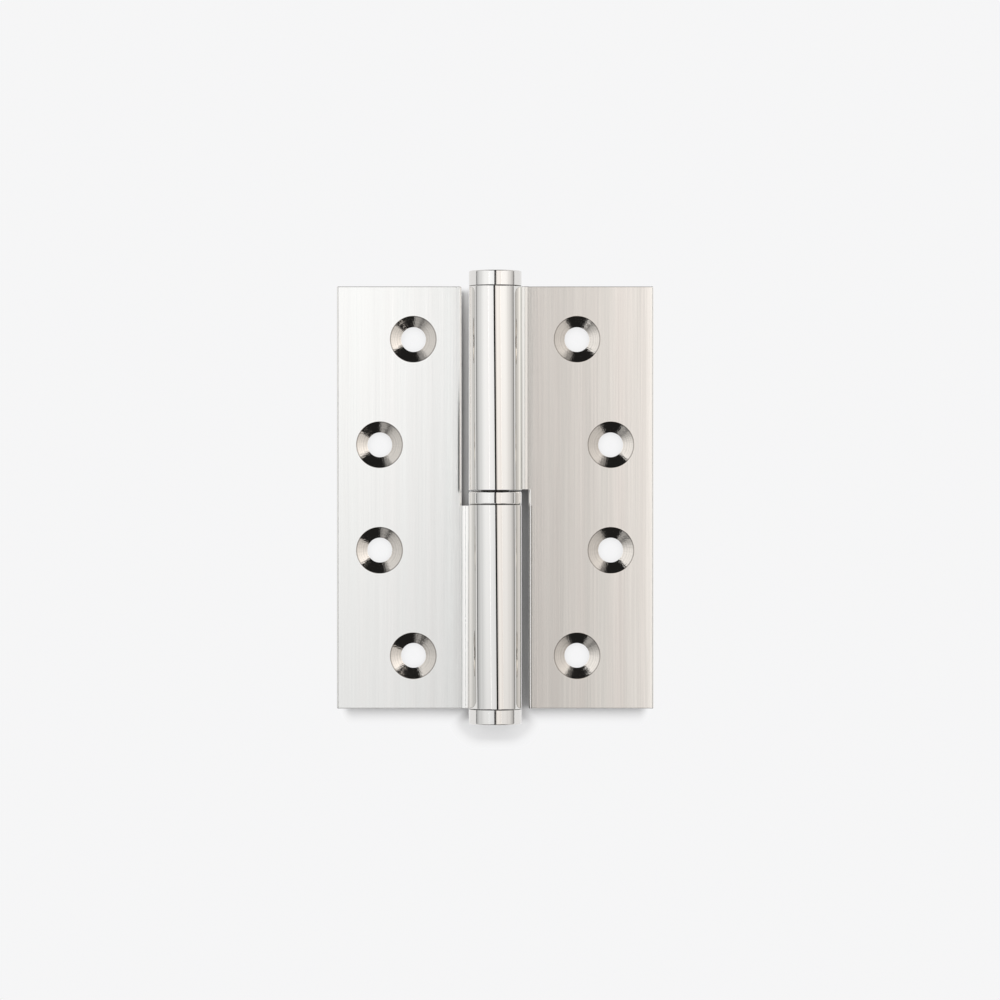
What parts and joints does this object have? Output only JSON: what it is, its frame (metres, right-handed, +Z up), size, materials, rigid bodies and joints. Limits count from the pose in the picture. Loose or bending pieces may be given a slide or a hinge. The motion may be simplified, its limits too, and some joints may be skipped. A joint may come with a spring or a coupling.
{
  "type": "lift-off hinge",
  "caption": "Lift-off butt hinge with flat countersunk leaves, a pin fixed in the lower knuckle, a thrust ring, and an upper leaf that turns and lifts off the pin.",
  "frame": {"origin": "on the pin axis at mid-height", "axes": "+Z up along the pin, the way the door leaf lifts off; +X to the door leaf when the hinge lies open; -Y out of the countersunk faces"},
  "size_m": [0.075, 0.0124, 0.1072],
  "materials": {
    "nickel": "polished nickel plate on solid brass",
    "steel": "bright drawn steel"
  },
  "bodies": {
    "frame_side": {"frame_leaf": "nickel", "hinge_pin": "steel", "bottom_cap": "nickel"},
    "ring": {"thrust_ring": "nickel"},
    "door_side": {"door_leaf": "nickel", "top_cap": "nickel"}
  },
  "joints": [
    {"name": "swing", "type": "hinge", "parent": "frame_side", "child": "ring", "pos_m": [0, 0, 0], "axis": [0, 0, -1], "range_deg": [-130, 180]},
    {"name": "lift_off", "type": "slide", "parent": "ring", "child": "door_side", "axis": [0, 0, 1], "range_m": [-0.00028, 0.045]}
  ]
}
